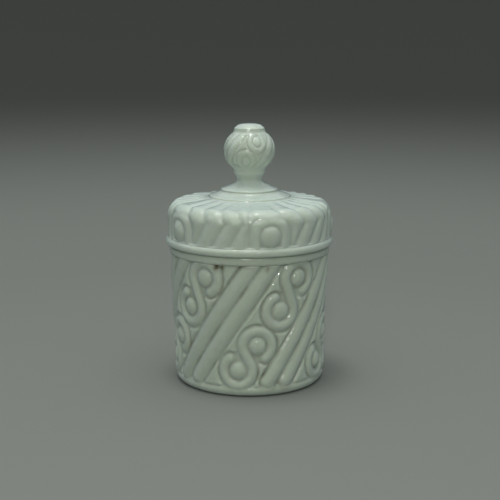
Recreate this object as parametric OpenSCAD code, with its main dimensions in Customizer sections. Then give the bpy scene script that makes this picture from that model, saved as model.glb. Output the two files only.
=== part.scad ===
// Covered toilet jar in pressed opaline glass, with slanting ribs and scrolls all round.
// Millimetres. +Z is up, the origin is the middle of the foot, and -Y is the front.

/* [Jar] */
// Height of the seat that the lid rests on
seat_z = 74.5; // [73:0.5:78]
// Outer radius of the rounded collar below the seat
collar_r = 43.1; // [42.8:0.1:43.4]
// Height of the rounded collar
collar_h = 4.7; // [4:0.1:6]
// Outer radius of the plain heel
heel_r = 40.2; // [39.8:0.1:40.5]
// Radius of the heel's rounded lower edge
heel_round = 3.6; // [2:0.1:4]
// Height at which the heel has run into the ground of the ornament
heel_h = 7; // [6:0.1:8]
// Radius of the upright ground behind the lower ornament
ground_r = 39; // [38.6:0.1:39.2]
// Height from which that ground leans out
lean_z = 16; // [12:0.5:20]
// How far the ground leans out for each millimetre of height
draft = 0.0365; // [0.03:0.0005:0.04]
// Inner radius of the mouth
mouth_r = 35.6; // [34.5:0.1:36]
// Inner radius just above the floor
cavity_r = 34.4; // [33:0.1:34.6]
// Thickness of the glass under the contents
floor_t = 5.6; // [4:0.1:8]
// Radius of the hollow under the foot
foot_hollow_r = 33; // [28:0.5:34]
// Depth of the hollow under the foot
foot_hollow_depth = 1.2; // [0.6:0.1:1.8]
// Outer radius of the upright rim that keeps the lid centred
rim_r = 38.8; // [38:0.1:38.9]
// Height of that rim above the seat
rim_h = 4.4; // [3:0.1:5]

/* [Ornament on the jar] */
// Times that the ornament repeats around the jar
repeats = 5; // [4:1:6]
// Degrees that the ribs lean round for each millimetre of height
slant = 0.965; // [0.8:0.005:1.1]
// Angles at which the two ribs of one repeat cross the height of 10 mm
rib_angles = [-56, -41.4]; // [-58:0.1:-39]
// Half the width of a rib
rib_w = 4.3; // [3.4:0.1:4.4]
// Height of a rib above the ground
rib_h = 2; // [1:0.05:2.1]
// Height of the rounded lower end of a rib
rib_foot_z = 8; // [7.5:0.5:12]
// Radius of a bead
bead_r = 4.7; // [3.6:0.1:4.8]
// Height of a bead above the ground
bead_h = 2.1; // [1:0.05:2.2]
// Radius at which the scroll ribbon winds round a bead
ring_r = 8; // [7:0.1:8.2]
// Half the width of the scroll ribbon
ribbon_w = 2.8; // [2:0.1:3]
// Height of the scroll ribbon above the ground
ribbon_h = 1.7; // [0.8:0.05:1.9]
// Degrees that each end of a scroll wraps round its bead
scroll_wrap = 266; // [240:1:280]
// Gap round the stippled spandrels between ribs and scrolls
spandrel_gap = 0.9; // [0.6:0.1:1.6]
// Height of the spandrels above the ground
spandrel_h = 1.2; // [0.5:0.05:1.4]

/* [Lid] */
// Greatest radius of the lid, at its edge bead
edge_r = 45; // [44.6:0.1:46]
// Height of the edge bead
edge_h = 4.5; // [4:0.1:5.4]
// Radius of the lid's side at the crests
side_r = 43.85; // [43.5:0.05:44]
// Height of the highest ring of the crown above the seat
crown_h = 24.9; // [24.4:0.1:25.2]
// Inner radius of the lid at its mouth
lid_mouth_r = 39.3; // [39.2:0.1:39.5]
// Inner radius of the lid under the crown
lid_top_r = 38.4; // [37:0.1:38.8]
// Height of the hollow under the lid
lid_hollow_h = 18; // [14:0.5:18.5]
// Depth of the valleys between the lobes
valley_d = 1.2; // [0.6:0.05:1.3]
// Angle and height above the seat of the bead on the lid's side
lid_bead = [14.5, 10.7]; // [10:0.1:15]
// Radius of that bead
lid_bead_r = 5.8; // [4.4:0.1:6]
// Inner and outer radius of the arched ribbon round it
arch = [6.2, 11.5]; // [5.5:0.1:11.6]

/* [Finial] */
// Radius of the finial's ball
ball_r = 13.64; // [12:0.02:14.2]
// Half the height of the ball
ball_b = 12.2; // [11.8:0.1:12.6]
// Height of the ball's middle above the seat
ball_z = 49.6; // [49.2:0.1:50]
// Radius of the narrowest place of the neck
neck_r = 6.7; // [5.5:0.1:7.6]
// Radius of the band on top of the ball
band_r = 8.1; // [7.8:0.1:8.4]
// Height of the finial's tip above the seat
tip_z = 63.8; // [63.2:0.1:64.5]
// Height of the rounded cap on top of the band
cap_h = 2.3; // [1.8:0.1:2.6]

/* [Hidden] */
$fn = 96;
pitch = 360 / repeats;
mm_per_deg = 42 * PI / 180;
steps = 20 * repeats;
row_h = 2.4;
glass = [0.74, 0.79, 0.74];
// Angle and height of the four beads of one repeat, in pairs with a scroll each
beads = [[-8.7, 14], [6, 27.4], [23.3, 45.4], [37.8, 62]];

// Lean of the ribs in the unrolled surface, as a unit vector [round, up]
lean_len = norm([slant * mm_per_deg, 1]);
lean = [slant * mm_per_deg / lean_len, 1 / lean_len];

// An angle moved by whole repeats until it lies nearest to zero
function nearest(a) = a - pitch * round(a / pitch);

// Height of a round-topped ridge of half-width w and height h, at distance d from its middle
function ridge(d, w, h) =
    let (r = (w * w + h * h) / (2 * h))
    d >= w ? 0 : sqrt(r * r - d * d) - r + h;

// Distance from a rib's middle line, which starts at the round lower end and goes on up
function rib_gap(a, z, start) =
    let (
        x = nearest(a - start - slant * (z - 10)) * mm_per_deg
            + slant * mm_per_deg * (z - rib_foot_z),
        up = z - rib_foot_z,
        along = x * lean[0] + up * lean[1]
    )
    along > 0 ? abs(x * lean[1] - up * lean[0]) : norm([x, up]);

// Position of a point seen from a bead, in millimetres on the unrolled surface
function from_bead(a, z, bead) = [nearest(a - bead[0]) * mm_per_deg, z - bead[1]];

// Distance from an arc of radius r round the origin that ends at angle turn, going anticlockwise
function arc_gap(p, r, turn) =
    let (
        behind = turn - atan2(p[1], p[0]),
        lag = behind - 360 * floor(behind / 360),
        tail = turn - scroll_wrap
    )
    lag <= scroll_wrap ? abs(norm(p) - r)
        : min(norm(p - r * [cos(turn), sin(turn)]), norm(p - r * [cos(tail), sin(tail)]));

// Distance from the middle line of the S-shaped scroll round the beads a and b: an arc round each
// and, between them, a straight stretch that touches both
function scroll_gap(angle, z, a, b) =
    let (
        reach = [(b[0] - a[0]) * mm_per_deg, b[1] - a[1]],
        off = acos(2 * ring_r / norm(reach)),
        turn = atan2(reach[1], reach[0]) - off,
        p = from_bead(angle, z, a) - reach / 2,
        along = abs(p[1] * cos(turn) - p[0] * sin(turn)),
        across = p[0] * cos(turn) + p[1] * sin(turn)
    )
    min(
        arc_gap(from_bead(angle, z, a), ring_r, turn),
        arc_gap(from_bead(angle, z, b), ring_r, turn + 180),
        norm([max(0, along - ring_r * tan(off)), across])
    );

// Height of the ornament above the ground at an angle and a height
function jar_relief(a, z) =
    let (
        rib = min([for (start = rib_angles) rib_gap(a, z, start)]),
        bead = min([for (b = beads) norm(from_bead(a, z, b))]),
        scroll = min([for (i = [0, 2]) scroll_gap(a, z, beads[i], beads[i + 1])]),
        free = min(rib - rib_w, scroll - ribbon_w, bead - 2 * bead_r, z - 4.5),
        plateau = spandrel_h * max(0, min(1, (free - spandrel_gap) / 0.5))
    )
    max(
        ridge(rib, rib_w, rib_h),
        ridge(bead, bead_r, bead_h),
        ridge(scroll, ribbon_w, ribbon_h),
        plateau
    );

// Closed skin over rings of points, each ring one turn round the axis, bottom ring first
module skin(rings) {
    count = len(rings[0]);
    last = len(rings) - 1;
    points = [for (ring = rings) for (p = ring) p];
    sides = [
        for (i = [0:last - 1])
            for (j = [0:count - 1])
                let (k = (j + 1) % count)
                    each [
                        [i * count + j, (i + 1) * count + j, (i + 1) * count + k],
                        [i * count + j, (i + 1) * count + k, i * count + k]
                    ]
    ];
    floor_face = [for (j = [0:count - 1]) j];
    top_face = [for (j = [count - 1:-1:0]) last * count + j];
    polyhedron(points, concat(sides, [floor_face, top_face]));
}

// A point at angle a from the front, seen from above and positive to the right
function around(a, r, z) = [r * sin(a), -r * cos(a), z];

// Points of an arc in the plane of a profile
function bend(x, z, r, from, to, n = 6) =
    [for (i = [0:n]) let (t = from + (to - from) * i / n) [x + r * cos(t), z + r * sin(t)]];

// Height at which the collar starts
collar_z = seat_z - collar_h;
// Radius of the plain jar by height: rounded heel, ground of the ornament, rounded collar
jar_outline = concat(
    [for (t = [70:-20:10])
        [t == 70 ? 0 : heel_round * (1 - sin(t)), heel_r - heel_round * (1 - cos(t))]],
    [
        [heel_round, heel_r],
        [heel_h, ground_r],
        [lean_z, ground_r],
        [collar_z - 0.3, ground_r + draft * (collar_z - lean_z)],
        [collar_z, collar_r - 0.9],
        [collar_z + 0.7, collar_r - 0.25],
        [collar_z + collar_h / 2, collar_r],
        [seat_z - 0.7, collar_r - 0.25],
        [seat_z, collar_r - 0.9]
    ]
);

// Outer radius of the jar at an angle and a height
function jar_radius(a, z) =
    let (plain = lookup(z, jar_outline))
    z < 2 || z > collar_z - 0.1 ? plain
        : max(plain, ground_r + draft * max(0, z - lean_z) + jar_relief(a, z));

// The jar's outside, filled in up to the seat
module jar_body() {
    low = heel_round;
    high = collar_z - 0.2;
    rows = ceil((high - low) / row_h);
    heights = concat(
        [0, 0.6, 1.3],
        [for (i = [0:rows]) low + (high - low) * i / rows],
        [collar_z, collar_z + 0.7, collar_z + collar_h / 2, seat_z - 0.7, seat_z]
    );
    skin([
        for (z = heights)
            [for (j = [0:steps - 1]) let (a = 360 * j / steps) around(a, jar_radius(a, z), z)]
    ]);
}

module jar_rim() {
    top = seat_z + rim_h;
    rotate_extrude()
        polygon(concat(
            [[0, seat_z - 2], [rim_r, seat_z - 2]],
            bend(rim_r - 1.2, top - 1.2, 1.2, 0, 90, 4),
            [[0, top]]
        ));
}

module jar_cavity() {
    corner = 6;
    top = seat_z + rim_h;
    rotate_extrude()
        polygon(concat(
            [[0, floor_t]],
            bend(cavity_r - corner, floor_t + corner, corner, -90, 0),
            [[mouth_r, top - 0.8], [mouth_r + 0.8, top + 1], [0, top + 1]]
        ));
}

module jar() {
    color(glass)
        difference() {
            union() {
                jar_body();
                jar_rim();
            }
            jar_cavity();
            translate([0, 0, -1])
                cylinder(r1 = foot_hollow_r + 1, r2 = foot_hollow_r, h = foot_hollow_depth + 1);
        }
}

// Angle of each valley between lobes: on the crown, at the top of the side, and its lean below
valleys = [[0.3, 0.3, 0], [20.5, 27.5, 0], [35.8, 40.8, 0.8], [49.5, 55, 0.85], [61.5, 67, 0.8]];
// Height above the seat at which the side turns into the shoulder
shoulder_z = 16;
// Half-axes of the rounded shoulder
shoulder = [6.85, 7.35];

// Angle of valley v, where over is 0 at the foot of the shoulder and 1 on the crown
function valley_angle(v, up, over) =
    v[1] + (v[0] - v[1]) * over - v[2] * max(0, shoulder_z - up);

// Depth of the lid's surface below the crests, as a negative height
function lid_relief(a, up, over, r) =
    let (
        deg = r * PI / 180,
        p = [nearest(a - lid_bead[0]) * deg, up - lid_bead[1]],
        to_arch = p[1] > 0 ? norm(p) : abs(p[0]),
        gaps = [
            for (v = valleys)
                abs(nearest(a - valley_angle(v, up, over))) * deg * cos(v[2] > 0 ? 30 : 0)
        ],
        line = over > 0.5 ? min(gaps)
            : min(abs(to_arch - arch[1]), gaps[2], gaps[3], gaps[4], gaps[0]),
        near = 1 - min(1, line / 4),
        hole = over > 0.5 ? 0 : min(1, max(0, arch[0] - to_arch) / 0.8)
    )
    max(
        -valley_d * max(near * near, hole),
        -valley_d + ridge(norm(p), lid_bead_r, 1.9)
    );

// One ring of the lid's skin: the crest's radius and height, and the direction that faces out
function lid_ring(r, up, out, over, fade = 1) = [
    for (j = [0:steps - 1])
        let (a = 360 * j / steps, h = fade * lid_relief(a, up, over, r))
            around(a, r + h * out[0], seat_z + up + h * out[1])
];

// The edge bead, the lobed side, the shoulder and the crown of the lid, filled in
module lid_dome() {
    middle = side_r - shoulder[0];
    side_rows = 5;
    turn_rows = 6;
    crown_rows = 5;
    edge = concat(
        bend(edge_r - 1.5, 1.5, 1.5, -90, 0, 3),
        bend(edge_r - 2.4, edge_h - 2.4, 2.4, 0, 60, 3)
    );
    low = edge_h + 0.2;
    top = shoulder_z + shoulder[1];
    skin(concat(
        [for (p = edge) lid_ring(p[0], p[1], [1, 0], 0, 0)],
        [for (i = [0:side_rows])
            lid_ring(side_r, low + (shoulder_z - low) * i / side_rows, [1, 0], 0)],
        [for (i = [1:turn_rows])
            let (t = 90 * i / turn_rows)
                lid_ring(
                    middle + shoulder[0] * cos(t),
                    shoulder_z + shoulder[1] * sin(t),
                    [cos(t), sin(t)],
                    i / turn_rows
                )],
        [for (i = [1:crown_rows])
            let (t = i / crown_rows)
                lid_ring(middle + (20.5 - middle) * t, top + (crown_h - top) * t, [0, 1], 1, 1 - t)]
    ));
}

// Two stepped discs, neck, collar, ball and cap, in one outline
module lid_finial() {
    foot_z = -sqrt(1 - pow(9.8 / ball_r, 2)) * ball_b;
    band_top = tip_z - cap_h;
    cap_r = band_r - 1.7;
    slope = cap_h / 2;
    from = asin(foot_z / ball_b);
    to = acos((band_r + 0.7) / ball_r);
    translate([0, 0, seat_z])
        rotate_extrude()
            polygon(concat(
                [[0, 20], [21.6, 20]],
                bend(21, 25.3, 0.6, 0, 80, 3),
                [[15.8, 27.8]],
                bend(14.7, 28.8, 0.5, -10, 80, 3),
                [[11.8, 31.1], [8.6, 32.2]],
                bend(neck_r + 2.3, 34.4, 2.3, -100, -180, 5),
                [[neck_r, 35.4], [7.5, 37], [8.3, 38], [8.6, 39.6]],
                [for (i = [0:14])
                    let (t = from + (to - from) * i / 14)
                        [ball_r * cos(t), ball_z + ball_b * sin(t)]],
                [[band_r + 0.1, band_top - 1.2], [band_r, band_top]],
                [for (i = [0:5])
                    let (t = 90 * i / 5)
                        [cap_r * cos(t), band_top + slope + (cap_h - slope) * sin(t)]]
            ));
}

module lid_hollow() {
    corner = 5;
    translate([0, 0, seat_z])
        rotate_extrude()
            polygon(concat(
                [[0, -1], [lid_mouth_r + 0.5, -1], [lid_mouth_r, 0.5]],
                bend(lid_top_r - corner, lid_hollow_h - corner, corner, 0, 90),
                [[0, lid_hollow_h]]
            ));
}

module lid() {
    color(glass)
        difference() {
            union() {
                lid_dome();
                lid_finial();
            }
            lid_hollow();
        }
}

jar();
lid();
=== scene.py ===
"""Covered toilet jar in pressed opaline glass: the looks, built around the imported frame."""

import math

import bpy
import numpy as np
from bpy.props import FloatProperty, FloatVectorProperty, IntProperty, PointerProperty
from bpy.types import Operator, Panel, PropertyGroup
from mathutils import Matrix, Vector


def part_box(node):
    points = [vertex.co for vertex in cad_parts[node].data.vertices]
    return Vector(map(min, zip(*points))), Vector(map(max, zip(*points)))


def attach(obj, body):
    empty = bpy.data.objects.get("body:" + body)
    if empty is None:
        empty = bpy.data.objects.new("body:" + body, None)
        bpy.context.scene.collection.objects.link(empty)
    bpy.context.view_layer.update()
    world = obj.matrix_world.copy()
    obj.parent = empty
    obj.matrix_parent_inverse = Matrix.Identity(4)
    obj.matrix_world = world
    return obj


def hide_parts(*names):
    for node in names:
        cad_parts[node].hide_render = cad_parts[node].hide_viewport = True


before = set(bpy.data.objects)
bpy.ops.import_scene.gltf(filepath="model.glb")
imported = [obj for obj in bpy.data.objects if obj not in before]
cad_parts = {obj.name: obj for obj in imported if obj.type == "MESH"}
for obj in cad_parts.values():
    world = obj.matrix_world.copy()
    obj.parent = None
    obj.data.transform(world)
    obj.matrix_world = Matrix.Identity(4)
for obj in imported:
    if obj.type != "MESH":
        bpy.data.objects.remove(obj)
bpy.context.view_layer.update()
_, JAR_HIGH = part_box("jar")
LID_LOW, LID_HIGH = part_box("lid")
MM = 0.001

bl_info = {
    "name": "Opaline Toilet Jar",
    "version": (1, 0, 0),
    "blender": (4, 5, 0),
    "location": "3D View > Sidebar > Toilet Jar",
    "description": "Builds a covered jar in pressed opaline glass with ribs, scrolls and beads",
    "category": "Add Mesh",
}


# ---------------------------------------------------------------- sizes and colours


def srgb(hex_colour):
    """A colour written as hex, as red, green and blue between 0 and 1."""
    return tuple(int(hex_colour[i : i + 2], 16) / 255 for i in (1, 3, 5))


def length(name, description, default):
    """A size in metres, shown with its unit."""
    return FloatProperty(
        name=name, description=description, default=default, unit="LENGTH", precision=5
    )


def degrees(name, description, default):
    """An angle in degrees. Places round the jar count from the front to the right."""
    return FloatProperty(name=name, description=description, default=default)


def tint(name, description, hex_colour):
    """A colour given as hex, kept as sRGB."""
    return FloatVectorProperty(
        name=name, description=description, subtype="COLOR_GAMMA", default=srgb(hex_colour)
    )


class OrnamentSizes(PropertyGroup):
    """The pressed ornament round the jar's wall."""

    repeats: IntProperty(
        name="Repeats", description="Times the ornament repeats round the jar", default=5
    )
    slant: FloatProperty(
        name="Slant",
        description="Degrees that a rib leans round for each millimetre of height",
        default=0.965,
    )
    first_rib: degrees("First Rib", "Angle of the first rib 10 mm above the foot", -56.0)
    second_rib: degrees("Second Rib", "Angle of the second rib 10 mm above the foot", -41.4)
    rib_half: length("Rib Half Width", "Half the width of a rib", 4.3 * MM)
    rib_height: length("Rib Height", "Height of a rib above the ground", 2.0 * MM)
    rib_foot: length("Rib Foot", "Height of a rib's round lower end", 8 * MM)
    bead_radius: length("Bead Radius", "Radius of a bead", 4.7 * MM)
    bead_height: length("Bead Height", "Height of a bead above the ground", 2.1 * MM)
    ring_radius: length("Ring Radius", "Radius at which a ribbon winds round a bead", 8.0 * MM)
    ribbon_half: length("Ribbon Half Width", "Half the width of the scroll ribbon", 2.8 * MM)
    ribbon_height: length("Ribbon Height", "Height of the scroll ribbon", 1.7 * MM)
    scroll_wrap: degrees("Scroll Wrap", "How far each end of a scroll turns round its bead", 266.0)
    spandrel_gap: length("Spandrel Gap", "Groove round the stippled spandrels", 0.9 * MM)
    spandrel_height: length("Spandrel Height", "Height of the spandrels", 1.2 * MM)


class JarSizes(PropertyGroup):
    """The plain stretches of the jar."""

    collar_radius: length("Collar Radius", "Outer radius of the collar", JAR_HIGH.x)
    collar_height: length("Collar Height", "Height of the collar", 4.7 * MM)
    heel_radius: length("Heel Radius", "Outer radius of the heel", 40.2 * MM)
    heel_round: length("Heel Round", "Radius of the heel's rounded lower edge", 3.6 * MM)
    heel_height: length("Heel Height", "Height at which the heel meets the ground", 7 * MM)
    ground_radius: length("Ground Radius", "Radius behind the lower ornament", 39.0 * MM)
    lean_height: length("Lean Height", "Height from which the ground leans out", 16 * MM)
    draft: FloatProperty(
        name="Draft", description="How far the ground leans out for its height", default=0.0365
    )
    rim_radius: length("Rim Radius", "Outer radius of the rim inside the lid", 38.8 * MM)
    mouth_radius: length("Mouth Radius", "Inner radius of the mouth", 35.6 * MM)
    cavity_radius: length("Cavity Radius", "Inner radius above the floor", 34.4 * MM)
    floor_height: length("Floor Height", "Thickness of the floor", 5.6 * MM)
    foot_hollow: length("Foot Hollow", "Depth of the hollow under the foot", 1.2 * MM)


class LidSizes(PropertyGroup):
    """The lid with its finial."""

    edge_radius: length("Edge Radius", "Outer radius of the edge bead", LID_HIGH.x)
    side_radius: length("Side Radius", "Radius of the side at the crests", 43.85 * MM)
    mouth_radius: length("Mouth Radius", "Inner radius of the lid at its mouth", 39.3 * MM)
    hollow_radius: length("Hollow Radius", "Inner radius under the crown", 38.4 * MM)
    hollow_height: length("Hollow Height", "Height of the hollow under the lid", 18 * MM)
    valley_depth: length("Valley Depth", "Depth of the valleys between lobes", 1.1 * MM)
    bead_angle: degrees("Bead Angle", "Angle of the bead on the lid's side", 14.5)
    bead_radius: length("Bead Radius", "Radius of the bead on the lid's side", 5.9 * MM)
    ball_radius: length("Ball Radius", "Radius of the finial's ball", 13.9 * MM)
    ball_half_height: length("Ball Half Height", "Half the height of the ball", 12.2 * MM)
    ball_relief: length("Ball Relief", "Depth of the ornament on the ball", 0.5 * MM)
    ball_turn: degrees("Ball Turn", "Angle by which the ball's ornament is turned", -19.5)


class GlassLook(PropertyGroup):
    """Colours of the opaline glass, with a painted reflection at its edges and dust with painted
    shade in its grooves.
    """

    jar_colour: tint("Jar Colour", "Colour of the jar's glass", "#c0cab7")
    lid_colour: tint("Lid Colour", "Colour of the lid's thinner glass", "#c4cebf")
    cloud_colour: tint("Cloud Colour", "Colour of the milkier clouds in the glass", "#cdd6c6")
    # Painted reflection: a cool sheen that stands for the surroundings' reflection, mixed in where
    # the glass is seen edge on
    edge_colour: tint("Edge Colour", "Colour where the glass is seen edge on", "#b8c8ca")
    # Dark colour for old dust and for painted shade in the grooves and creases
    dust_and_shade_colour: tint("Dust Colour", "Colour of old dust in the grooves", "#5c5a30")


# ---------------------------------------------------------------- shape functions


def nearest(angle, pitch):
    """The angle moved by whole repeats until it lies nearest to zero."""
    return angle - pitch * np.round(angle / pitch)


def ridge(gap, half, height, power=0.7):
    """Height of a rolled ridge: height times (1 - (gap/half)^2)^power. The power 0.5 gives a
    circle's arc and 1 a parabola."""
    return height * np.clip(1 - (gap / half) ** 2, 0, 1) ** power


def smooth_step(low, high, value):
    """0 below low, 1 above high, and the cubic 3t2 - 2t3 between them."""
    t = np.clip((value - low) / (high - low), 0.0, 1.0)
    return t * t * (3 - 2 * t)


def arc_gap(x, z, radius, turn, wrap):
    """Distance from a circle's arc round the origin that ends at the angle turn and runs back by
    wrap, both in degrees: the plain distance beside the arc, or that to its nearer end."""
    behind = np.mod(turn - np.degrees(np.arctan2(z, x)), 360)
    ends = [
        np.hypot(x - radius * math.cos(a), z - radius * math.sin(a))
        for a in (math.radians(turn), math.radians(turn - wrap))
    ]
    return np.where(behind <= wrap, np.abs(np.hypot(x, z) - radius), np.minimum(*ends))


def polished(height, passes):
    """Softens a relief as fire polishing does: each pass blends every point with its neighbours
    round the axis and along the outline, by the weights 1, 2, 1."""
    for _ in range(passes):
        height = (np.roll(height, 1, 1) + 2 * height + np.roll(height, -1, 1)) / 4
        height[1:-1] = (height[:-2] + 2 * height[1:-1] + height[2:]) / 4
    return height


# How often the copy is softened that grooves are measured against, and how far under it the
# deepest ones lie
GROOVE_PASSES = 12
GROOVE_DEPTH = 0.5 * MM


def deep_places(relief):
    """1 in the narrowest grooves and 0 in the open: how far the relief lies under its own
    softened copy, over the groove depth."""
    return np.clip((polished(relief.copy(), GROOVE_PASSES) - relief) / GROOVE_DEPTH, 0, 1)


def dust_and_shade_line(height, level, strength, spread):
    """Dust and painted shade gathered in a dark line along a level: strength times exp(-(distance /
    spread)^2).
    """
    return strength * np.exp(-(((height - level) / spread) ** 2))


def line(start, end, count):
    """Points of a straight stretch of an outline, without its last point."""
    t = np.linspace(0, 1, count, endpoint=False)[:, None]
    return np.array(start) + (np.array(end) - np.array(start)) * t


def bend(centre, radius, start, end, count):
    """Points of a round stretch of an outline: centre plus radius times cosine and sine, from
    start to end in degrees. Radius is one number, or two half-axes."""
    t = np.radians(np.linspace(start, end, count))
    return np.array(centre) + np.stack([np.cos(t), np.sin(t)], 1) * np.array(radius)


def ring_quads(rows, steps):
    """The faces between rings of points: face (i, j) has the points j and j + 1 of ring i and
    of ring i + 1, where the last point of a ring is followed by its first."""
    here = np.arange(steps)
    there = np.roll(here, -1)
    row = (np.arange(rows - 1) * steps)[:, None]
    return np.stack([row + here, row + there, row + steps + there, row + steps + here], -1)


def turned_mesh(name, radius, height, marks):
    """A closed surface of rings round the Z axis. Row i and step j of the grids radius and height
    give the point (r sin a, -r cos a, z) at the angle a = 360 j / steps from the front. The first
    and the last ring close on a point on the axis. marks are named grids for the material."""
    rows, steps = radius.shape
    angle = 2 * math.pi * np.arange(steps) / steps
    ring_points = np.stack([radius * np.sin(angle), -radius * np.cos(angle), height], -1)
    poles = np.array([[0, 0, height[0].mean()], [0, 0, height[-1].mean()]])
    points = np.concatenate([ring_points.reshape(-1, 3), poles])
    quads = ring_quads(rows, steps)
    here = np.arange(steps)
    there = np.roll(here, -1)
    first, last = rows * steps, rows * steps + 1
    top = (rows - 1) * steps
    low_fan = np.stack([np.full(steps, first), there, here], 1)
    high_fan = np.stack([top + here, top + there, np.full(steps, last)], 1)
    corners = np.concatenate([quads.ravel(), low_fan.ravel(), high_fan.ravel()])
    sizes = np.concatenate([np.full(quads.size // 4, 4), np.full(2 * steps, 3)])
    starts = np.concatenate([[0], np.cumsum(sizes)[:-1]])
    mesh = bpy.data.meshes.new(name)
    mesh.vertices.add(len(points))
    mesh.vertices.foreach_set("co", points.ravel())
    mesh.loops.add(len(corners))
    mesh.loops.foreach_set("vertex_index", corners.astype(np.int32))
    mesh.polygons.add(len(sizes))
    mesh.polygons.foreach_set("loop_start", starts.astype(np.int32))
    mesh.polygons.foreach_set("use_smooth", np.ones(len(sizes), bool))
    mesh.update(calc_edges=True)
    mesh.validate()
    for mark, grid in marks.items():
        values = np.concatenate([grid.ravel(), [grid[0].mean(), grid[-1].mean()]])
        mesh.attributes.new(mark, "FLOAT", "POINT").data.foreach_set(
            "value", values.astype(np.float32)
        )
    piece = bpy.data.objects.new(name, mesh)
    bpy.context.scene.collection.objects.link(piece)
    return piece


# ---------------------------------------------------------------- the jar

# Columns of points round each piece
STEPS = 460
# The ornament is drawn on a flat plan, the wall unrolled at this radius
REFERENCE_RADIUS = 42 * MM
METRES_PER_DEGREE = REFERENCE_RADIUS * math.pi / 180
# Height, in millimetres, at which the angles of the ribs are given
RIB_LEVEL = 10
# Height from which spandrels may stand
SPANDREL_FOOT = 4.5 * MM
# Inner radius of the flat ring under the foot
FOOT_RING = 34 * MM
# How far the collar's rounded edges stand back from its middle
COLLAR_ROLL = 0.75 * MM
# Power that shapes a bead as seen from the side, see ridge
BEAD_POWER = 0.6
# Angle and height of the four beads of one repeat; a scroll joins the first two, another the rest
BEADS = ((-8.7, 14 * MM), (6.0, 27.4 * MM), (23.3, 45.4 * MM), (37.8, 62 * MM))


def rib_gap(angle, height, start, look):
    """Distance from a rib's middle line. The line starts at a round lower end and leans round by
    a fixed angle for each millimetre of height."""
    lean = look.slant * METRES_PER_DEGREE / MM
    size = math.hypot(lean, 1)
    pitch = 360 / look.repeats
    up = height - look.rib_foot
    level = nearest(angle - start - look.slant * (height / MM - RIB_LEVEL), pitch)
    across = level * METRES_PER_DEGREE + lean * up
    along = (across * lean + up) / size
    return np.where(along > 0, np.abs(across - up * lean) / size, np.hypot(across, up))


def from_bead(angle, height, bead, look):
    """A place on the unrolled wall as seen from a bead: how far round, and how far up."""
    return nearest(angle - bead[0], 360 / look.repeats) * METRES_PER_DEGREE, height - bead[1]


def scroll_gap(angle, height, first, look):
    """Distance from the middle line of the S-shaped scroll round a bead and the next one: an arc
    round each bead and, between them, a straight that touches both arcs. It leaves the line
    between the beads by the angle whose cosine is two radii over their distance."""
    low, high = (from_bead(angle, height, BEADS[i], look) for i in (first, first + 1))
    reach = [
        (BEADS[first + 1][0] - BEADS[first][0]) * METRES_PER_DEGREE,
        BEADS[first + 1][1] - BEADS[first][1],
    ]
    radius = look.ring_radius
    off = math.acos(2 * radius / math.hypot(*reach))
    turn = math.atan2(reach[1], reach[0]) - off
    x, z = low[0] - reach[0] / 2, low[1] - reach[1] / 2
    along = np.abs(z * math.cos(turn) - x * math.sin(turn))
    across = x * math.cos(turn) + z * math.sin(turn)
    return np.minimum.reduce(
        [
            arc_gap(*low, radius, math.degrees(turn), look.scroll_wrap),
            arc_gap(*high, radius, math.degrees(turn) + 180, look.scroll_wrap),
            np.hypot(np.maximum(0, along - radius * math.tan(off)), across),
        ]
    )


def jar_relief(angle, height, look, heel):
    """Height of the jar's ornament above its ground, and where the stippled spandrels are. The
    highest wins: ribs and scroll ribbons are ridges along their middle lines, beads are caps, and
    spandrels are flat where they are above the heel and everything else is far enough away."""
    rib = np.minimum(
        rib_gap(angle, height, look.first_rib, look),
        rib_gap(angle, height, look.second_rib, look),
    )
    bead = np.minimum.reduce([np.hypot(*from_bead(angle, height, b, look)) for b in BEADS])
    scroll = np.minimum(
        scroll_gap(angle, height, 0, look), scroll_gap(angle, height, 2, look)
    )
    free = np.minimum.reduce(
        [
            rib - look.rib_half,
            scroll - look.ribbon_half,
            bead - 2 * look.bead_radius,
            height - heel,
        ]
    )
    flat = smooth_step(0, 0.5 * MM, free - look.spandrel_gap)
    relief = np.maximum.reduce(
        [
            ridge(rib, look.rib_half, look.rib_height),
            ridge(bead, look.bead_radius, look.bead_height, BEAD_POWER),
            ridge(scroll, look.ribbon_half, look.ribbon_height),
            flat * look.spandrel_height,
        ]
    )
    return relief, flat


# Patches of old dust under the collar: angle and strength, then how wide they are, in degrees,
# how high, and how far below the collar they lie
DUST_PATCHES = ((-24.0, 8.0), (-19.0, 6.0), (12.5, 2.0), (25.0, 1.6))
PATCH_WIDTH = 1.8
PATCH_HEIGHT = 1.6 * MM
PATCH_DROP = 1.4 * MM


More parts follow.
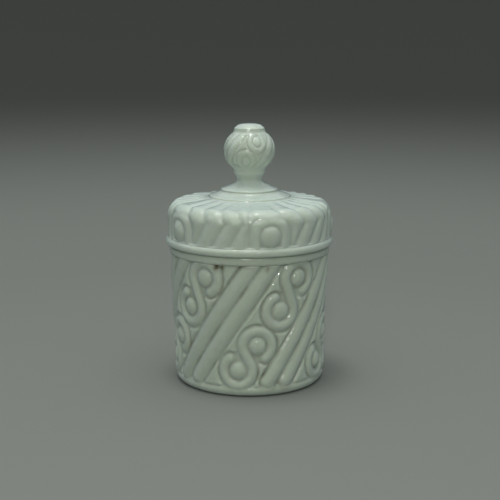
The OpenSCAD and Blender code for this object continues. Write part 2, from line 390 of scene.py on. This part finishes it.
def make_jar(jar, look):
    """The jar as one closed surface. Its outline runs from the middle of the foot's hollow out
    over the foot, up the wall, over collar, seat and rim, and down inside to the middle of the
    floor. On the wall the ornament's height is added to the ground's radius."""
    seat = LID_LOW.z
    rim_top = JAR_HIGH.z
    collar = seat - jar.collar_height
    round_middle = (jar.heel_radius - jar.heel_round, jar.heel_round)
    corner = 6 * MM
    below = np.concatenate(
        [
            # Hollow of the foot, the step down to the ring it stands on, and the heel's edge
            line((0.5 * MM, jar.foot_hollow), (FOOT_RING - 1.6 * MM, jar.foot_hollow), 6),
            bend((FOOT_RING - 1.6 * MM, jar.foot_hollow - 0.6 * MM), 0.6 * MM, 90, 20, 4),
            bend((FOOT_RING - 0.4 * MM, 0.6 * MM), 0.6 * MM, 200, 270, 4),
            line((FOOT_RING, 0), (round_middle[0] - 0.3 * MM, 0), 3),
            bend(round_middle, jar.heel_round, -85, -40, 5),
        ]
    )
    wall = np.concatenate(
        [
            jar.heel_round * (1 - np.sin(np.radians(np.linspace(34, 0, 4)))),
            np.linspace(jar.heel_round + 0.5 * MM, collar - 1.0 * MM, 112),
            np.linspace(collar - 0.7 * MM, collar + 0.5 * MM, 9),
            collar + jar.collar_height * np.linspace(0.18, 0.86, 9),
        ]
    )
    above = np.concatenate(
        [
            # Edge of the collar, seat, and the rim with its rounded top
            bend((jar.collar_radius - 1.1 * MM, seat - 0.5 * MM), (0.75 * MM, 0.5 * MM), 10, 90, 5),
            line((jar.collar_radius - 1.6 * MM, seat), (jar.rim_radius + 0.8 * MM, seat), 3),
            bend((jar.rim_radius + 0.5 * MM, seat + 0.5 * MM), 0.5 * MM, 270, 180, 3),
            line((jar.rim_radius, seat + 0.8 * MM), (jar.rim_radius, rim_top - 1.2 * MM), 2),
            bend((jar.rim_radius - 1.2 * MM, rim_top - 1.2 * MM), 1.2 * MM, 0, 90, 6),
            bend((jar.mouth_radius + 1 * MM, rim_top - 1 * MM), 1 * MM, 90, 180, 5),
            # Down the inside and over the floor
            line(
                (jar.mouth_radius, rim_top - 1.5 * MM),
                (jar.cavity_radius, jar.floor_height + corner),
                8,
            ),
            bend((jar.cavity_radius - corner, jar.floor_height + corner), corner, 0, -90, 7),
            line(
                (jar.cavity_radius - corner - 1 * MM, jar.floor_height),
                (0.5 * MM, jar.floor_height),
                6,
            ),
        ]
    )
    angle = 360 * np.arange(STEPS)[None, :] / STEPS
    height = wall[:, None] + 0 * angle
    relief, flat = jar_relief(angle + 0 * height, height, look, SPANDREL_FOOT)
    relief = polished(relief, 1)
    ground = jar.ground_radius + jar.draft * np.maximum(0, height - jar.lean_height)
    # Below its round edge's middle the heel draws in along a quarter circle
    tuck = np.clip(1 - height / jar.heel_round, 0, 1)
    heel = jar.heel_radius - jar.heel_round * (1 - np.sqrt(1 - tuck * tuck))
    out_of_heel = smooth_step(jar.heel_round, jar.heel_height, height)
    bulge = np.clip((height - collar) / jar.collar_height * 2 - 1, -1, 1)
    rolled = jar.collar_radius - COLLAR_ROLL * bulge**4
    into_collar = smooth_step(collar - 0.3 * MM, collar + 0.3 * MM, height)
    radius = np.maximum(heel + (ground - heel) * out_of_heel, ground + relief)
    radius = np.where(height < jar.heel_round, heel, radius)
    radius = radius + (rolled - radius) * into_collar
    outline = np.concatenate([below, np.stack([0 * wall, wall], 1), above])
    low, high = len(below), len(below) + len(wall)
    all_radius = outline[:, :1] + 0 * angle
    all_radius[low:high] = radius
    stipple = 0 * all_radius
    stipple[low:high] = flat * (1 - into_collar)
    # Dust and painted shade: the deepest grooves and the lines at the collar's foot and under the
    # lid's edge get the dark dust colour, partly as painted shade; the patches below the collar are
    # real dust
    dust_and_shade = 0 * all_radius
    dust_and_shade[low:high] = deep_places(relief) * (1 - into_collar)
    dust_and_shade[low:high] += dust_and_shade_line(height, collar, 0.8, 1.1 * MM)
    dust_and_shade[low:high] += dust_and_shade_line(height, seat, 0.9, 1.3 * MM)
    for middle, strength in DUST_PATCHES:
        sideways = nearest(angle - middle, 360) / PATCH_WIDTH
        upward = (height - collar + PATCH_DROP) / PATCH_HEIGHT
        dust_and_shade[low:high] += strength * np.exp(-(sideways**2) - upward**2)
    all_height = outline[:, 1:] + 0 * angle
    return turned_mesh("opaline_jar", all_radius, all_height, {"stipple": stipple, "dust_and_shade": dust_and_shade})


# ---------------------------------------------------------------- the lid

# Each valley between lobes: its angle on the crown, its angle at the top of the side, and how
# many degrees it leans round below for each millimetre
VALLEYS = (
    (0.3, 0.3, 0.0),
    (20.5, 27.5, 0.0),
    (35.8, 40.8, 0.8),
    (49.5, 55.0, 0.85),
    (61.5, 67.0, 0.8),
)
# How far the leaning valleys stand off upright, in degrees
VALLEY_SLANT = 30
# Half-axes of the shoulder's quarter ellipse, the height it starts from, and the crown's top
SHOULDER = (6.85 * MM, 7.35 * MM)
SHOULDER_FOOT = 16 * MM
CROWN_TOP = 24.9 * MM
# Height of a bead's middle on the side
LID_BEAD_HEIGHT = 10.5 * MM
# How far a bead stands up from the sunk ground round it
LID_BEAD_RISE = 2.2 * MM
# Distance from a valley's line over which the lobes fall into it
VALLEY_HALF = 4 * MM
# Inner and outer edge of the ribbon that arches over a bead, from the bead's middle
ARCH_INNER, ARCH_OUTER = 6.3 * MM, 11.4 * MM
# Height of the ball's middle above the seat, and the height of the cap on the band
BALL_MIDDLE = 49.6 * MM
CAP_HEIGHT = 2.3 * MM
# The ball's ornament: the jar's height at its middle, how much of the jar's height one measure
# along the ball's outline stands for, and how often the ornament repeats round it
BALL_LEVEL = 36.2 * MM
BALL_STRETCH = 1.6
BALL_REPEATS = 3
# How uneven wear has made the ball's ornament, as a part of its depth
BALL_WEAR = 0.12
# How much dust and painted shade darken the lid's grooves and the ball's sunk ornament
CROWN_DUST_AND_SHADE, BALL_DUST_AND_SHADE = 0.5, 0.7


def lid_relief(angle, up, over, radius, lid, repeats):
    """Height of the lid's surface against its crests, never above zero except on the beads.
    Lobes rise from valleys that run down the crown, over the shoulder and down the side, where
    they lean. A ribbon arches over each bead, and the ground inside the arch is sunk."""
    pitch = 360 / repeats
    per_degree = radius * math.pi / 180
    x = nearest(angle - lid.bead_angle, pitch) * per_degree
    z = up - LID_BEAD_HEIGHT
    to_arch = np.where(z > 0, np.hypot(x, z), np.abs(x))
    below = np.maximum(0, SHOULDER_FOOT - up) / MM
    gaps = [
        np.abs(nearest(angle - (side + (crown - side) * over - lean * below), pitch))
        * per_degree
        * (math.cos(math.radians(VALLEY_SLANT)) if lean else 1)
        for crown, side, lean in VALLEYS
    ]
    # On the side the arch takes the place of the second valley
    arch = np.abs(to_arch - ARCH_OUTER)
    on_side = np.minimum.reduce([arch, gaps[0], gaps[2], gaps[3], gaps[4]])
    on_crown = np.minimum.reduce(gaps)
    gap = on_side + (on_crown - on_side) * smooth_step(0.2, 0.55, over)
    near = 1 - np.minimum(1, gap / VALLEY_HALF)
    sunk = smooth_step(0, 1.0 * MM, ARCH_INNER - to_arch) * (1 - smooth_step(0.3, 0.6, over))
    shape = -lid.valley_depth * np.maximum(near * near, sunk)
    cap = -lid.valley_depth + ridge(np.hypot(x, z), lid.bead_radius, LID_BEAD_RISE, BEAD_POWER)
    return np.maximum(shape, cap)


def ball_relief(angle, lift, lid, look):
    """Height of the ornament on the ball, nearly all of it below the ball's own surface: the
    jar's ribs, scrolls and beads in miniature. Measures along the ball's outline are stretched
    to the jar's height, and angles so that three of the jar's five repeats go round the ball.
    Wear makes it uneven by a product of two sines, and it fades out at both ends."""
    height = BALL_LEVEL + BALL_STRETCH * lid.ball_half_height * np.radians(lift)
    turned = (angle - lid.ball_turn) * BALL_REPEATS / look.repeats
    small, _ = jar_relief(turned, height, look, -1.0)
    worn = BALL_WEAR * np.sin(np.radians(angle * 25 + lift * 9)) * np.sin(np.radians(lift * 31))
    fade = smooth_step(-50, -40, lift) * smooth_step(50, 42, lift)
    return -lid.ball_relief * (1 - small / look.bead_height + worn) * fade


def make_lid(lid, look):
    """The lid as one closed surface. Its outline runs from the middle of the hollow out and down
    the inside, round the seat and the edge bead, up the side, over shoulder and crown, up the
    stepped discs and the neck, and round the ball to the tip."""
    seat = LID_LOW.z
    tip = LID_HIGH.z
    top = lid.hollow_height
    corner = 5 * MM
    inside = np.concatenate(
        [
            # Hollow under the crown and down the inside
            line((0.5 * MM, top), (lid.hollow_radius - corner, top), 5),
            bend((lid.hollow_radius - corner, top - corner), corner, 90, 0, 6),
            line((lid.hollow_radius, top - corner - 1 * MM), (lid.mouth_radius, 0.8 * MM), 4),
            # The ring that rests on the seat, and the edge bead
            bend((lid.mouth_radius + 0.6 * MM, 0.6 * MM), 0.6 * MM, 180, 270, 3),
            line((lid.mouth_radius + 1 * MM, 0), (lid.edge_radius - 2 * MM, 0), 2),
            bend((lid.edge_radius - 1.5 * MM, 1.5 * MM), 1.5 * MM, -90, 0, 7),
            bend((lid.edge_radius - 2.4 * MM, 2.1 * MM), 2.4 * MM, 0, 62, 7),
        ]
    )
    side_low = inside[-1, 1]
    middle = lid.side_radius - SHOULDER[0]
    side_heights = np.concatenate(
        [
            np.linspace(side_low + 0.15 * MM, side_low + 0.9 * MM, 5),
            np.linspace(side_low + 1.4 * MM, SHOULDER_FOOT, 19),
        ]
    )
    side = np.stack([0 * side_heights + lid.side_radius, side_heights], 1)
    shoulder = bend((middle, SHOULDER_FOOT), SHOULDER, 4, 90, 22)
    crown = line(
        (middle - 0.5 * MM, shoulder[-1, 1] + 0.05 * MM), (21.9 * MM, CROWN_TOP), 28
    )
    ornament = np.concatenate([side, shoulder, crown])
    # Which way the relief stands out: sideways on the side, upwards on the crown
    facing = np.concatenate(
        [
            np.tile([1.0, 0.0], (len(side), 1)),
            bend((0, 0), 1.0, 4, 90, len(shoulder)),
            np.tile([0.0, 1.0], (len(crown), 1)),
        ]
    )
    # Where on the lid a row lies: 0 on the side, 1 on the crown
    over = np.concatenate(
        [np.zeros(len(side)), np.linspace(0, 1, len(shoulder)), np.ones(len(crown))]
    )
    # How much of the relief's depth each row has
    rise = np.concatenate(
        [
            np.linspace(0, 1, 5),
            np.ones(len(side) - 5),
            np.linspace(1, 0.75, len(shoulder)),
            0.75 - smooth_step(0.55, 1.0, np.linspace(0, 1, len(crown))) * 0.5,
        ]
    )
    stem = np.concatenate(
        [
            # The lower disc, its edge and its top
            bend((20.7 * MM, CROWN_TOP + 0.1 * MM), (0.9 * MM, 1.0 * MM), 0, 90, 6),
            line((20.3 * MM, 26.1 * MM), (15.8 * MM, 27.8 * MM), 4),
            # The upper disc, its edge and its top
            bend((14.5 * MM, 28.8 * MM), (0.8 * MM, 0.7 * MM), -30, 75, 6),
            line((14.2 * MM, 29.6 * MM), (9.3 * MM, 31.9 * MM), 5),
            # The neck, from its waist out to the small ledge under the ball
            bend((9.4 * MM, 34.6 * MM), 2.6 * MM, 262, 180, 6),
            line((6.85 * MM, 35.3 * MM), (7.9 * MM, 36.9 * MM), 4),
            line((8.3 * MM, 37.4 * MM), (8.5 * MM, 38.0 * MM), 3),
            line((8.5 * MM, 38.6 * MM), (8.45 * MM, 39.8 * MM), 3),
        ]
    )
    span = (-48, 50, 58)
    lift = np.linspace(*span)[:, None]
    ball = bend((0, BALL_MIDDLE), (lid.ball_radius, lid.ball_half_height), *span)
    band_top = tip - seat - CAP_HEIGHT
    cap = np.concatenate(
        [
            # The band on top of the ball, then the rounded cap
            line((8.45 * MM, band_top - 1.9 * MM), (8.15 * MM, band_top - 0.9 * MM), 3),
            bend((7.7 * MM, band_top - 0.4 * MM), (0.4 * MM, 0.5 * MM), 0, 60, 4),
            line((7.6 * MM, band_top + 0.3 * MM), (6.7 * MM, band_top + 0.95 * MM), 3),
            bend((0, band_top + 1.1 * MM), (6.35 * MM, 1.2 * MM), 10, 87, 12),
        ]
    )
    outline = np.concatenate([inside, ornament, stem, ball, cap])
    angle = 360 * np.arange(STEPS)[None, :] / STEPS
    radius = outline[:, :1] + 0 * angle
    height = outline[:, 1:] + 0 * angle
    start = len(inside)
    end = start + len(ornament)
    relief = lid_relief(
        angle + 0 * radius[start:end],
        height[start:end],
        over[:, None] + 0 * angle,
        radius[start:end],
        lid,
        look.repeats,
    )
    relief = polished(relief * rise[:, None], 1)
    radius[start:end] += relief * facing[:, :1]
    height[start:end] += relief * facing[:, 1:]
    low = end + len(stem)
    high = low + len(ball)
    bumps = polished(ball_relief(angle + 0 * lift, lift + 0 * angle, lid, look), 1)
    radius[low:high] += bumps * np.cos(np.radians(lift))
    height[low:high] += bumps * np.sin(np.radians(lift))
    dust_and_shade = 0 * radius
    # Dust and painted shade: the lid's deepest grooves and the ball's sunk ornament get the dark
    # dust colour
    dust_and_shade[start:end] = CROWN_DUST_AND_SHADE * deep_places(relief)
    dust_and_shade[low:high] = BALL_DUST_AND_SHADE * np.clip(-bumps / lid.ball_relief, 0, 1)
    marks = {"stipple": 0 * radius, "dust_and_shade": dust_and_shade}
    return turned_mesh("opaline_lid", radius, seat + height, marks)


# ---------------------------------------------------------------- materials


def linear(colour):
    """An sRGB colour, three numbers or hex, as linear red, green, blue and alpha."""
    parts = srgb(colour) if isinstance(colour, str) else colour
    return [c / 12.92 if c <= 0.04045 else ((c + 0.055) / 1.055) ** 2.4 for c in parts] + [1.0]


def node(material, kind, settings=None, **inputs):
    """Adds a shader node. settings are its own properties; inputs, named with _ for a space, are
    values, or the output sockets of other nodes to link."""
    made = material.node_tree.nodes.new(kind)
    for key, value in (settings or {}).items():
        setattr(made, key, value)
    for key, value in inputs.items():
        number = key[1:]
        socket = made.inputs[int(number) if number.isdigit() else key.replace("_", " ")]
        if isinstance(value, bpy.types.NodeSocket):
            material.node_tree.links.new(value, socket)
        else:
            socket.default_value = value
    return made


# Features of the glass for each metre: clouds of about 36 mm, patches of dust of about 14 mm,
# waves from the mould of about 4 mm, orange peel and the pips of the stipple of about 1 mm
CLOUDS, PATCHES, WAVES, PEEL, PIPS = 28.0, 70.0, 260.0, 950.0, 1000.0
# Roughness of fire-polished glass and of glass under dust
POLISHED, DUSTY = 0.055, 0.5
# How far light spreads in the milky glass
SCATTER = 1.2 * MM


def opaline_glass(name, colour, tints):
    """Pressed opaline glass, fire polished: milky, so light goes in and comes out again about a
    millimetre away, which softens every groove. The skin is glossy with a faint orange peel
    from the mould, and the colour is a little cloudy. A cool painted reflection is mixed in where
    the glass is seen edge on, and old dust with painted shade darkens the deepest grooves."""
    made = bpy.data.materials.new(name)
    made.use_nodes = True
    made.node_tree.nodes.clear()
    place = node(made, "ShaderNodeTexCoord").outputs["Object"]
    cloud = node(
        made,
        "ShaderNodeTexNoise",
        Vector=place,
        Scale=CLOUDS,
        Detail=3.0,
        Roughness=0.5,
        Distortion=0.8,
    ).outputs["Fac"]
    body = node(
        made,
        "ShaderNodeMix",
        {"data_type": "RGBA"},
        Factor=cloud,
        _6=linear(colour),
        _7=linear(tints.cloud_colour),
    ).outputs["Result"]
    # Painted reflection: the cool edge colour is mixed in where the glass is seen edge on
    edge = node(made, "ShaderNodeLayerWeight", Blend=0.25).outputs["Facing"]
    body = node(
        made,
        "ShaderNodeMix",
        {"data_type": "RGBA"},
        Factor=edge,
        _6=body,
        _7=linear(tints.edge_colour),
    ).outputs["Result"]
    # The dust attribute holds both dust and painted shade in the grooves and creases
    dust_and_shade = node(made, "ShaderNodeAttribute", {"attribute_name": "dust_and_shade"}).outputs["Fac"]
    stipple = node(made, "ShaderNodeAttribute", {"attribute_name": "stipple"}).outputs["Fac"]
    blotches = node(
        made, "ShaderNodeTexNoise", Vector=place, Scale=PATCHES, Detail=4.0, Roughness=0.6
    ).outputs["Fac"]
    patchy = node(
        made,
        "ShaderNodeMapRange",
        Value=blotches,
        From_Min=0.45,
        From_Max=0.75,
        To_Min=0.12,
        To_Max=0.7,
    ).outputs["Result"]
    dirt_and_shade = node(
        made, "ShaderNodeMath", {"operation": "MULTIPLY"}, _0=dust_and_shade, _1=patchy
    ).outputs["Value"]
    # Dust and painted shade: the dark dust colour is mixed in where the grooves and creases are
    # darkened
    colour = node(
        made,
        "ShaderNodeMix",
        {"data_type": "RGBA"},
        Factor=dirt_and_shade,
        _6=body,
        _7=linear(tints.dust_and_shade_colour),
    ).outputs["Result"]
    # Bumps in turn: waves, then orange peel, then the stipple's pips on the spandrels only
    waves = node(
        made, "ShaderNodeTexNoise", Vector=place, Scale=WAVES, Detail=1.0, Roughness=0.5
    ).outputs["Fac"]
    wave_bump = node(
        made, "ShaderNodeBump", Strength=0.6, Distance=0.5 * MM, Height=waves
    ).outputs["Normal"]
    peel = node(
        made, "ShaderNodeTexNoise", Vector=place, Scale=PEEL, Detail=2.0, Roughness=0.5
    ).outputs["Fac"]
    peel_bump = node(
        made, "ShaderNodeBump", Strength=0.5, Distance=0.2 * MM, Height=peel, Normal=wave_bump
    ).outputs["Normal"]
    cells = node(
        made, "ShaderNodeTexVoronoi", {"feature": "F1"}, Vector=place, Scale=PIPS
    ).outputs["Distance"]
    pips = node(
        made, "ShaderNodeMath", {"operation": "MULTIPLY"}, _0=cells, _1=stipple
    ).outputs["Value"]
    skin = node(
        made, "ShaderNodeBump", Strength=0.6, Distance=0.3 * MM, Height=pips, Normal=peel_bump
    ).outputs["Normal"]
    rough = node(
        made,
        "ShaderNodeMapRange",
        Value=dirt_and_shade,
        From_Min=0.0,
        From_Max=0.5,
        To_Min=POLISHED,
        To_Max=DUSTY,
    ).outputs["Result"]
    shader = node(
        made,
        "ShaderNodeBsdfPrincipled",
        Base_Color=colour,
        Roughness=rough,
        IOR=1.5,
        Subsurface_Weight=1.0,
        Subsurface_Radius=(1.0, 1.2, 1.0),
        Subsurface_Scale=SCATTER,
        Normal=skin,
    )
    node(made, "ShaderNodeOutputMaterial", Surface=shader.outputs["BSDF"])
    return made


# ---------------------------------------------------------------- operators


class OPALINE_OT_jar(Operator):
    """Make the ribbed and scrolled jar"""

    bl_idname = "opaline.jar"
    bl_label = "Jar"

    def execute(self, context):
        scene = context.scene
        tints = scene.opaline_glass
        piece = make_jar(scene.opaline_jar, scene.opaline_ornament)
        piece.data.materials.append(
            opaline_glass("pressed_opaline_jar", tints.jar_colour, tints)
        )
        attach(piece, "jar")
        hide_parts("jar")
        return {"FINISHED"}


class OPALINE_OT_lid(Operator):
    """Make the lobed lid with its ball finial"""

    bl_idname = "opaline.lid"
    bl_label = "Lid"

    def execute(self, context):
        scene = context.scene
        tints = scene.opaline_glass
        piece = make_lid(scene.opaline_lid, scene.opaline_ornament)
        piece.data.materials.append(
            opaline_glass("pressed_opaline_lid", tints.lid_colour, tints)
        )
        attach(piece, "lid")
        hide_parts("lid")
        return {"FINISHED"}


class OPALINE_OT_stage(Operator):
    """Make the paper floor, the soft lights and the camera"""

    bl_idname = "opaline.stage"
    bl_label = "Stage"

    def execute(self, context):
        scene = context.scene
        make_floor()
        make_lights(scene)
        make_camera(scene)
        return {"FINISHED"}


# Colour of the paper low down and its darker colour high up, painted shade where the light falls
# off; then the colour of the light from all round with its strength
PAPER_LOW, PAPER_HIGH_SHADED = "#7e807b", "#363834"
SURROUNDINGS, SURROUNDINGS_STRENGTH = "#8b9190", 1.85


def make_floor():
    """A matt paper sweep: a flat disc that bends up all round, as a turned outline of a straight
    and an arc. The paper darkens as it rises: painted shade where the light falls off."""
    flat, curve = 0.30, 0.90
    outline = np.concatenate(
        [line((0.001, 0), (flat, 0), 12), bend((flat, curve), curve, -90, -22, 60)]
    )
    steps = 160
    angle = 2 * math.pi * np.arange(steps) / steps
    around = np.stack([np.cos(angle), np.sin(angle)], -1)
    points = np.concatenate(
        [outline[:, None, :1] * around, outline[:, None, 1:] + 0 * around[:, :1]], -1
    )
    facing_up = ring_quads(len(outline), steps).reshape(-1, 4)[:, ::-1]
    mesh = bpy.data.meshes.new("sweep")
    mesh.from_pydata(points.reshape(-1, 3).tolist(), [], facing_up.tolist())
    mesh.shade_smooth()
    floor = bpy.data.objects.new("sweep", mesh)
    bpy.context.scene.collection.objects.link(floor)
    matt = bpy.data.materials.new("matt_paper")
    matt.use_nodes = True
    matt.node_tree.nodes.clear()
    place = node(matt, "ShaderNodeTexCoord").outputs["Object"]
    height = node(matt, "ShaderNodeSeparateXYZ", Vector=place).outputs["Z"]
    # Painted shade: the paper is darkened as it rises up the sweep
    rise = node(
        matt,
        "ShaderNodeMapRange",
        {"interpolation_type": "SMOOTHSTEP"},
        Value=height,
        From_Min=0.0,
        From_Max=0.12,
    ).outputs["Result"]
    shaded_paper = node(
        matt,
        "ShaderNodeMix",
        {"data_type": "RGBA"},
        Factor=rise,
        _6=linear(PAPER_LOW),
        _7=linear(PAPER_HIGH_SHADED),
    ).outputs["Result"]
    shader = node(matt, "ShaderNodeBsdfPrincipled", Base_Color=shaded_paper, Roughness=0.75)
    node(matt, "ShaderNodeOutputMaterial", Surface=shader.outputs["BSDF"])
    mesh.materials.append(matt)


def area_light(name, place, target, size, power):
    """A soft rectangular lamp at place that faces target. size is its width and depth."""
    lamp = bpy.data.lights.new(name, "AREA")
    lamp.shape = "RECTANGLE"
    lamp.size, lamp.size_y = size
    lamp.energy = power
    holder = bpy.data.objects.new(name, lamp)
    holder.location = place
    direction = Vector(target) - Vector(place)
    holder.rotation_mode = "QUATERNION"
    holder.rotation_quaternion = direction.to_track_quat("-Z", "Y")
    bpy.context.scene.collection.objects.link(holder)


def make_lights(scene):
    """A bright lamp overhead for the crown, a broad soft one round it, a tall narrow one above
    the camera for crisp glints, and soft cool surroundings."""
    world = bpy.data.worlds.new("studio")
    world.use_nodes = True
    sky = world.node_tree.nodes["Background"].inputs
    sky["Color"].default_value = linear(SURROUNDINGS)
    sky["Strength"].default_value = SURROUNDINGS_STRENGTH
    scene.world = world
    middle = (0, 0, 0.09)
    area_light("overhead", (-0.08, -0.06, 1.15), middle, (0.30, 0.24), 3.2)
    area_light("ceiling", (0.0, -0.1, 1.25), middle, (1.1, 1.1), 3.6)
    area_light("glint", (-0.04, -0.95, 0.48), middle, (0.035, 0.40), 2.5)
    scene.view_settings.view_transform = "Standard"


def make_camera(scene):
    """The camera stands in front, a little above, with a long lens."""
    data = bpy.data.cameras.new("camera")
    data.sensor_width = 36.0
    data.lens = 76.6
    camera = bpy.data.objects.new("camera", data)
    camera.location = (0.0003, -0.56457, 0.18267)
    looking_down = 11.295
    camera.rotation_euler = (math.radians(90 - looking_down), 0, 0)
    scene.collection.objects.link(camera)
    scene.camera = camera


class OPALINE_PT_panel(Panel):
    """Lists the pieces and the stage"""

    bl_idname = "OPALINE_PT_panel"
    bl_label = "Toilet Jar"
    bl_space_type = "VIEW_3D"
    bl_region_type = "UI"
    bl_category = "Toilet Jar"

    def draw(self, context):
        for maker in MAKERS:
            self.layout.operator(maker.bl_idname)


MAKERS = (OPALINE_OT_jar, OPALINE_OT_lid, OPALINE_OT_stage)
GROUPS = {
    "opaline_ornament": OrnamentSizes,
    "opaline_jar": JarSizes,
    "opaline_lid": LidSizes,
    "opaline_glass": GlassLook,
}


def register():
    """Registers the property groups, the operators and the panel."""
    for name, group in GROUPS.items():
        bpy.utils.register_class(group)
        setattr(bpy.types.Scene, name, PointerProperty(type=group))
    for maker in MAKERS:
        bpy.utils.register_class(maker)
    bpy.utils.register_class(OPALINE_PT_panel)


def unregister():
    """Takes back everything that register added."""
    bpy.utils.unregister_class(OPALINE_PT_panel)
    for maker in reversed(MAKERS):
        bpy.utils.unregister_class(maker)
    for name, group in reversed(GROUPS.items()):
        delattr(bpy.types.Scene, name)
        bpy.utils.unregister_class(group)


def main():
    register()
    bpy.ops.opaline.jar()
    bpy.ops.opaline.lid()
    bpy.ops.opaline.stage()


if __name__ == "__main__":
    main()
